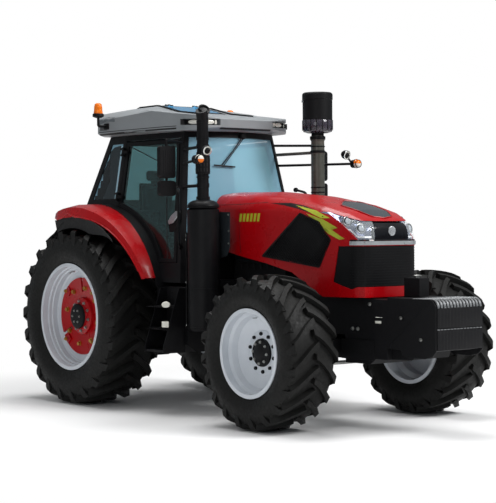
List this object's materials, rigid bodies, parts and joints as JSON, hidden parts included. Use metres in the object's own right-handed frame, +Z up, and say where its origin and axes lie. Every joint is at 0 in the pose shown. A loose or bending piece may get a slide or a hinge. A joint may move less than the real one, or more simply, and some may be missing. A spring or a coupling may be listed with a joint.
{
  "type": "farm tractor",
  "caption": "Four-wheel-drive farm tractor with a glazed cab, opening hood, doors and roof hatch, steered front wheels and a rear three-point linkage.",
  "frame": {"origin": "centre of the footprint's bounding box, on the ground the tyres stand on", "axes": "+X forward, towards the front weights; +Y to the driver's left; +Z up"},
  "size_m": [5.599, 2.562, 3.2149],
  "materials": {
    "red_paint": "gloss",
    "roof_paint": "satin",
    "black_paint": "satin",
    "casting": "satin",
    "white_paint": "gloss",
    "tyre": "matte",
    "black_plastic": "matte",
    "trim_plastic": "matte",
    "glass": "clear",
    "lamp": "clear",
    "amber": "gloss",
    "steel": "satin",
    "intake": "satin",
    "fabric": "woven"
  },
  "bodies": {
    "chassis": {"battery_box": "black_plastic", "beacons": "amber", "cab_floor": "black_paint", "cab_frame": "black_paint", "cab_roof": "roof_paint", "cab_steps": "black_paint", "cab_windows": "glass", "dashboard": "trim_plastic", "drawbar": "black_paint", "engine_block": "casting", "exhaust": "black_paint", "fender_liners": "black_plastic", "front_axle": "casting", "front_frame": "casting", "front_lamps": "black_plastic", "front_weights": "casting", "fuel_tank": "black_plastic", "hood_bracket": "black_paint", "intake_pipe": "intake", "mirrors": "black_plastic", "precleaner": "black_plastic", "radiator": "black_paint", "rear_axle": "casting", "rear_cover": "casting", "rear_fenders": "red_paint", "rear_lamps": "lamp", "seat": "fabric", "transmission": "casting", "weight_carrier": "casting"},
    "hood": {"hood_shell": "red_paint", "hood_grilles": "black_plastic", "headlights": "lamp"},
    "roof_hatch": {"roof_hatch": "black_plastic"},
    "steering_wheel": {"steering_wheel": "black_plastic"},
    "tie_rod": {"tie_rod": "steel"},
    "lift_arms": {"lift_arms": "black_paint"},
    "lift_rods": {"lift_rods": "steel"},
    "lower_links": {"lower_links": "black_paint"},
    "top_link": {"top_link": "black_paint"},
    "pto_shaft": {"pto_shaft": "steel"},
    "left_door": {"left_door": "black_paint", "left_door_glass": "glass"},
    "left_knuckle": {"left_knuckle": "casting"},
    "front_left_wheel": {"front_left_hub": "white_paint", "front_left_rim": "white_paint", "front_left_tyre": "tyre"},
    "rear_left_wheel": {"rear_left_wheel_centre": "red_paint", "rear_left_rim": "white_paint", "rear_left_tyre": "tyre"},
    "right_door": {"right_door": "black_paint", "right_door_glass": "glass"},
    "right_knuckle": {"right_knuckle": "casting"},
    "front_right_wheel": {"front_right_hub": "white_paint", "front_right_rim": "white_paint", "front_right_tyre": "tyre"},
    "rear_right_wheel": {"rear_right_wheel_centre": "red_paint", "rear_right_rim": "white_paint", "rear_right_tyre": "tyre"}
  },
  "joints": [
    {"name": "rear_left_spin", "type": "hinge", "parent": "chassis", "child": "rear_left_wheel", "pos_m": [-1.6195, 0.963, 0.916], "axis": [0, 1, 0], "continuous": true},
    {"name": "steer_left", "type": "hinge", "parent": "chassis", "child": "left_knuckle", "pos_m": [1.3755, 0.8005, 0.703], "axis": [0, 0, 1], "range_deg": [-35, 35]},
    {"name": "front_left_spin", "type": "hinge", "parent": "left_knuckle", "child": "front_left_wheel", "pos_m": [1.3755, 1.0005, 0.703], "axis": [0, 1, 0], "continuous": true},
    {"name": "left_door_hinge", "type": "hinge", "parent": "chassis", "child": "left_door", "pos_m": [-1.3515, 0.75553, 2.4], "axis": [0, -0.1652, 0.9863], "range_deg": [0, 62]},
    {"name": "rear_right_spin", "type": "hinge", "parent": "chassis", "child": "rear_right_wheel", "pos_m": [-1.6195, -0.963, 0.916], "axis": [0, 1, 0], "continuous": true},
    {"name": "steer_right", "type": "hinge", "parent": "chassis", "child": "right_knuckle", "pos_m": [1.3755, -0.8005, 0.703], "axis": [0, 0, 1], "range_deg": [-35, 35]},
    {"name": "front_right_spin", "type": "hinge", "parent": "right_knuckle", "child": "front_right_wheel", "pos_m": [1.3755, -1.0005, 0.703], "axis": [0, 1, 0], "continuous": true},
    {"name": "right_door_hinge", "type": "hinge", "parent": "chassis", "child": "right_door", "pos_m": [-1.3515, -0.75553, 2.4], "axis": [0, -0.1652, -0.9863], "range_deg": [0, 62]},
    {"name": "tie_rod_pin", "type": "hinge", "parent": "left_knuckle", "child": "tie_rod", "pos_m": [1.1755, 0.8005, 0.703], "axis": [0, 0, 1], "range_deg": [-35, 35]},
    {"name": "steering_wheel_turn", "type": "hinge", "parent": "chassis", "child": "steering_wheel", "pos_m": [-0.8195, 0, 2], "axis": [-0.5299, 0, 0.848], "continuous": true},
    {"name": "hood_hinge", "type": "hinge", "parent": "chassis", "child": "hood", "pos_m": [-0.1145, 0, 2.132], "axis": [0, -1, 0], "range_deg": [0, 40]},
    {"name": "hatch_hinge", "type": "hinge", "parent": "chassis", "child": "roof_hatch", "pos_m": [-1.2775, 0, 3.15403], "axis": [0, -1, 0], "range_deg": [0, 25]},
    {"name": "lift_arm_pivot", "type": "hinge", "parent": "chassis", "child": "lift_arms", "pos_m": [-1.9395, 0, 1.11], "axis": [0, 1, 0], "range_deg": [-30, 35]},
    {"name": "lower_link_pivot", "type": "hinge", "parent": "chassis", "child": "lower_links", "pos_m": [-1.7395, 0, 0.6], "axis": [0, 1, 0], "range_deg": [-18.9, 22.05]},
    {"name": "lift_rod_pin", "type": "hinge", "parent": "lift_arms", "child": "lift_rods", "pos_m": [-2.2995, 0, 1.2], "axis": [0, 1, 0], "range_deg": [-30.45, 26.1]},
    {"name": "top_link_pivot", "type": "hinge", "parent": "chassis", "child": "top_link", "pos_m": [-2.1195, 0, 1.01], "axis": [0, -1, 0], "range_deg": [0, 95]},
    {"name": "pto_spin", "type": "hinge", "parent": "chassis", "child": "pto_shaft", "pos_m": [-2.0495, 0, 0.69], "axis": [1, 0, 0], "continuous": true}
  ],
  "couplings": [
    {"joint": "steer_right", "follows": "steer_left", "ratio": 1},
    {"joint": "tie_rod_pin", "follows": "steer_left", "ratio": -1},
    {"joint": "lower_link_pivot", "follows": "lift_arm_pivot", "ratio": 0.63},
    {"joint": "lift_rod_pin", "follows": "lift_arm_pivot", "ratio": -0.87}
  ]
}
